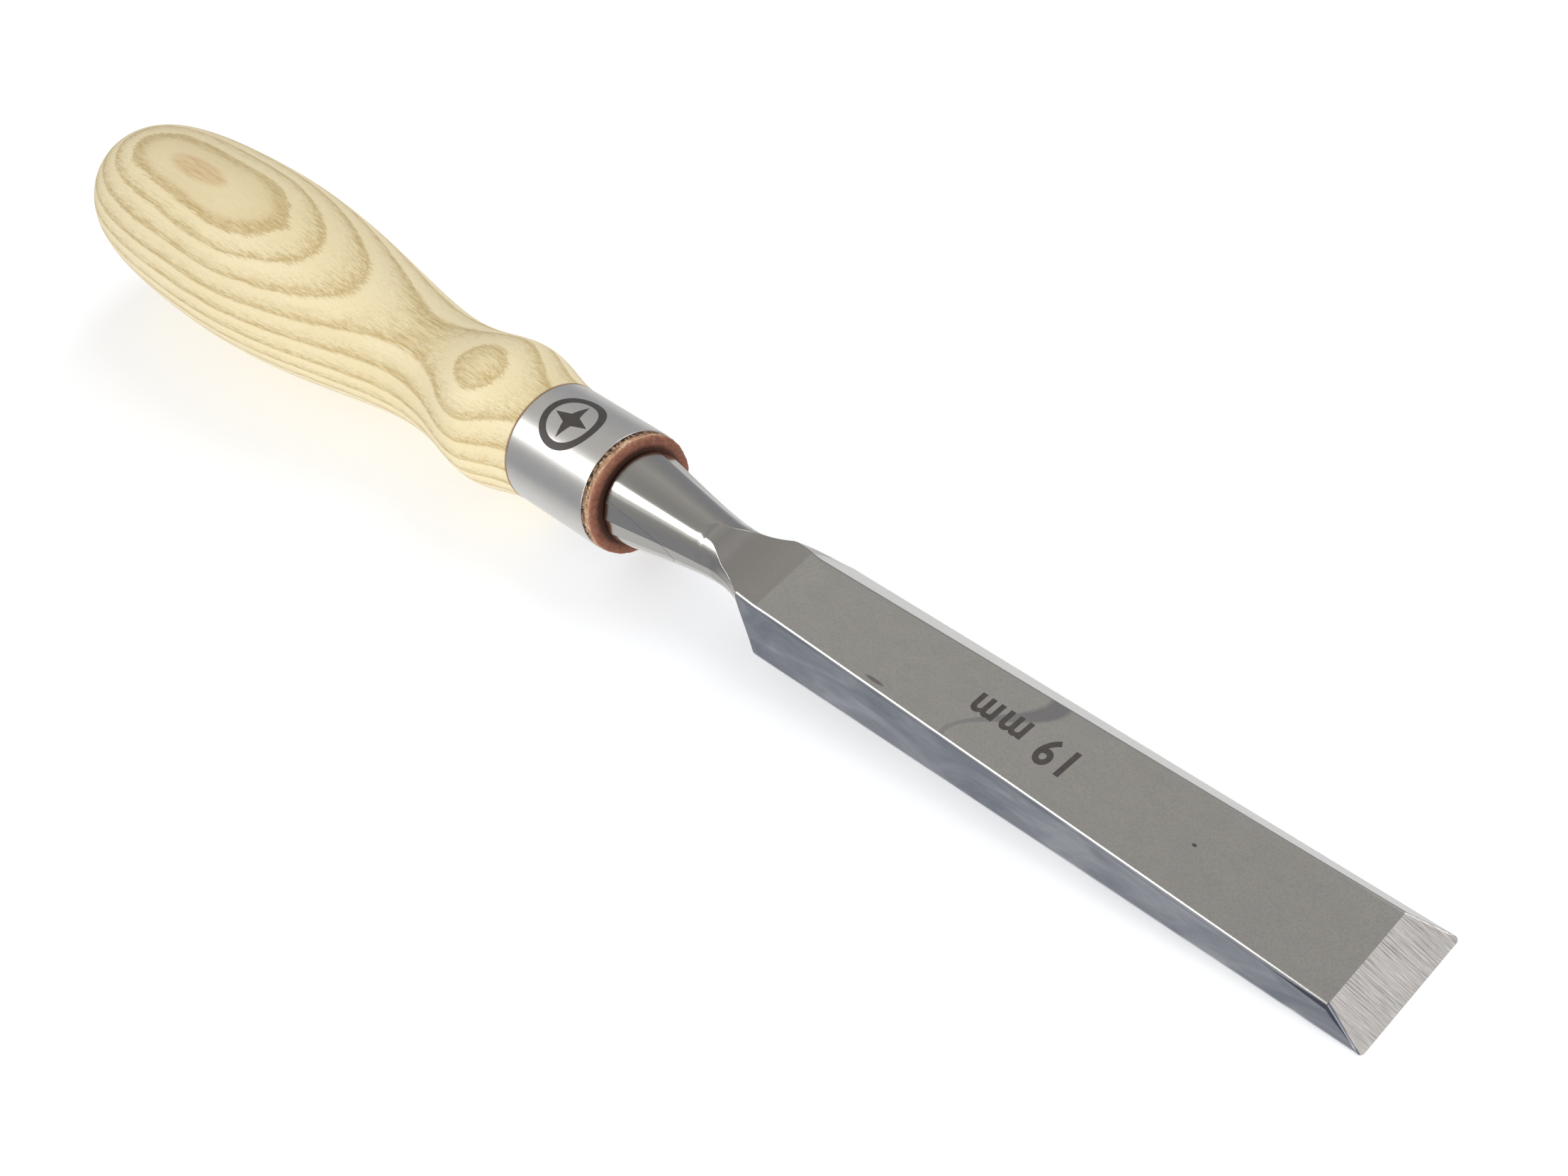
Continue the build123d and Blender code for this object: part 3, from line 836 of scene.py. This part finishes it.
def make_ferrule_mark(material):
    """Plain roundel etched on the ferrule: a ring round a four-pointed star."""
    bm = bmesh.new()
    rings = []
    for radius in ROUNDEL_CIRCLES:
        made = bmesh.ops.create_circle(bm, cap_ends=False, segments=96, radius=radius)["verts"]
        rings.append(list({e for v in made for e in v.link_edges}))
    for inside, outside in zip(rings, rings[1:]):
        bmesh.ops.bridge_loops(bm, edges=inside + outside)
    star = bmesh.ops.create_circle(bm, cap_ends=False, segments=8, radius=STAR_RADIUS)["verts"]
    for v in star:
        if min(abs(v.co.x), abs(v.co.y)) > 0.5:
            v.co *= STAR_WAIST
    tips = sorted(star, key=lambda v: math.atan2(v.co.y, v.co.x))
    middle = bm.verts.new((0.0, 0.0, 0.0))
    points = [bm.faces.new((middle, a, b)) for a, b in zip(tips, tips[1:] + tips[:1])]
    bmesh.ops.subdivide_edges(bm, edges=list({e for f in points for e in f.edges}), cuts=7,
                              use_grid_fill=True)
    made = bmesh.ops.extrude_face_region(bm, geom=bm.faces[:])["geom"]
    lowered = {g for g in made if isinstance(g, bmesh.types.BMVert)}
    for v in bm.verts:
        angle = v.co.y / FERRULE_RADIUS + ROUNDEL_TURN
        reach = FERRULE_RADIUS + (-MARK_SINK if v in lowered else MARK_RISE)
        v.co = (v.co.x + ROUNDEL_X, reach * math.sin(angle), reach * math.cos(angle))
    return lay_down(bm, "ferrule_mark", material, sharp=30)


# ---------------------------------------------------------------- studio

def make_floor():
    """Plain pale sheet under the tool."""
    f = Finish("pale_sheet")
    fleck = f.noise((0.02, 0.02, 0.02), detail=2.0)
    f.set(Base_Color=f.mix(fleck, (0.91, 0.925, 0.95), (0.93, 0.945, 0.97)), Roughness=0.9,
          Specular_IOR_Level=0.1, Emission_Color=(1.0, 1.0, 1.0), Emission_Strength=0.19)
    bm = bmesh.new()
    bmesh.ops.create_grid(bm, x_segments=8, y_segments=8, size=3.0)
    mesh = bpy.data.meshes.new("floor")
    bm.to_mesh(mesh)
    bm.free()
    mesh.materials.append(f.material)
    floor = bpy.data.objects.new("floor", mesh)
    bpy.context.scene.collection.objects.link(floor)
    floor.visible_glossy = False       # the steel sees the studio's own white table instead


def make_softbox(name, direction, distance, across, along, radiance, diffuse=True):
    """Rectangular softbox aimed at the tool, its long side lying along the tool."""
    light = bpy.data.lights.new(name, "AREA")
    light.shape = "RECTANGLE"
    light.size, light.size_y = across, along
    light.energy = radiance * math.pi * across * along
    towards = Vector(direction).normalized()
    length = (Vector((1, 0, 0)) - towards * towards.x).normalized()
    side = length.cross(towards)
    place = towards * distance
    box = bpy.data.objects.new(name, light)
    box.matrix_world = Matrix((
        (side.x, length.x, towards.x, place.x),
        (side.y, length.y, towards.y, place.y),
        (side.z, length.z, towards.z, place.z),
        (0, 0, 0, 1),
    ))
    box.visible_diffuse = diffuse
    bpy.context.scene.collection.objects.link(box)
    return box


SURROUND = (                       # height of the direction looked in, and the light from there
    (-1.0, (1.00, 1.00, 1.00)),
    (-0.70, (0.95, 0.95, 0.95)),
    (-0.575, (0.84, 0.84, 0.84)),
    (-0.49, (0.92, 0.92, 0.91)),
    (-0.38, (0.68, 0.68, 0.67)),
    (-0.26, (0.74, 0.74, 0.73)),
    (-0.15, (0.41, 0.425, 0.45)),
    (0.10, (0.40, 0.41, 0.45)),
    (0.45, (0.45, 0.45, 0.45)),
    (0.72, (0.60, 0.59, 0.575)),
    (0.88, (0.53, 0.52, 0.505)),
    (1.0, (0.42, 0.415, 0.41)),
)


def make_surround():
    """Even studio: white table below, a cooler dim wall at its height, soft grey overhead."""
    world = bpy.data.worlds.new("studio")
    world.use_nodes = True
    bpy.context.scene.world = world
    tree = world.node_tree
    coords = tree.nodes.new("ShaderNodeTexCoord")
    split = tree.nodes.new("ShaderNodeSeparateXYZ")
    share = tree.nodes.new("ShaderNodeMath")
    share.operation = "MULTIPLY_ADD"
    share.inputs[1].default_value = 0.5
    share.inputs[2].default_value = 0.5
    ramp = tree.nodes.new("ShaderNodeValToRGB")
    while len(ramp.color_ramp.elements) < len(SURROUND):
        ramp.color_ramp.elements.new(1.0)
    for element, (height, colour) in zip(ramp.color_ramp.elements, SURROUND):
        element.position = height / 2 + 0.5
        element.color = (*colour, 1.0)
    tree.links.new(coords.outputs["Generated"], split.inputs[0])
    tree.links.new(split.outputs["Z"], share.inputs[0])
    tree.links.new(share.outputs[0], ramp.inputs["Fac"])
    tree.links.new(ramp.outputs["Color"], tree.nodes["Background"].inputs["Color"])


def make_camera():
    """Camera above the cutting edge, looking back along the tool, rolled a little."""
    place = Vector(CAMERA_PLACE)
    ahead = (Vector(CAMERA_AIM) - place).normalized()
    level = ahead.cross(Vector((0, 0, 1))).normalized()
    down = ahead.cross(level)
    right = level * math.cos(CAMERA_ROLL) + down * math.sin(CAMERA_ROLL)
    up = level * math.sin(CAMERA_ROLL) - down * math.cos(CAMERA_ROLL)
    data = bpy.data.cameras.new("camera")
    data.lens = CAMERA_LENS
    data.sensor_width = 36.0
    data.clip_start = 0.01
    data.shift_x, data.shift_y = CAMERA_SHIFT
    camera = bpy.data.objects.new("camera", data)
    camera.matrix_world = Matrix((
        (right.x, up.x, -ahead.x, place.x),
        (right.y, up.y, -ahead.y, place.y),
        (right.z, up.z, -ahead.z, place.z),
        (0, 0, 0, 1),
    ))
    bpy.context.scene.collection.objects.link(camera)
    bpy.context.scene.camera = camera


# ---------------------------------------------------------------- put it together

make_handle(make_ash())
make_ferrule(make_ferrule_steel())
make_washer(make_leather())
make_blade([make_blade_steel(), make_grind()])
etch = make_etch()
make_size_mark(etch)
make_ferrule_mark(etch)

make_floor()
make_surround()
make_softbox("strip", (-0.50, -0.43, 0.75), 1.0, 0.28, 0.62, 4.5, diffuse=False)
make_softbox("strip_edge", (-0.50, -0.60, 0.62), 1.0, 0.12, 0.62, 0.5, diffuse=False)
make_softbox("far_fill", (0.15, 0.72, 0.68), 1.3, 0.9, 0.9, 2.4)
make_softbox("grind_fill", (0.75, 0.15, 0.65), 1.3, 0.6, 0.6, 0.55)
near_fill = make_softbox("near_fill", (0.40, -0.75, 0.52), 1.3, 1.0, 1.0, 3.3)
near_fill.data.use_shadow = False
make_camera()
bpy.context.scene.view_settings.view_transform = "Standard"
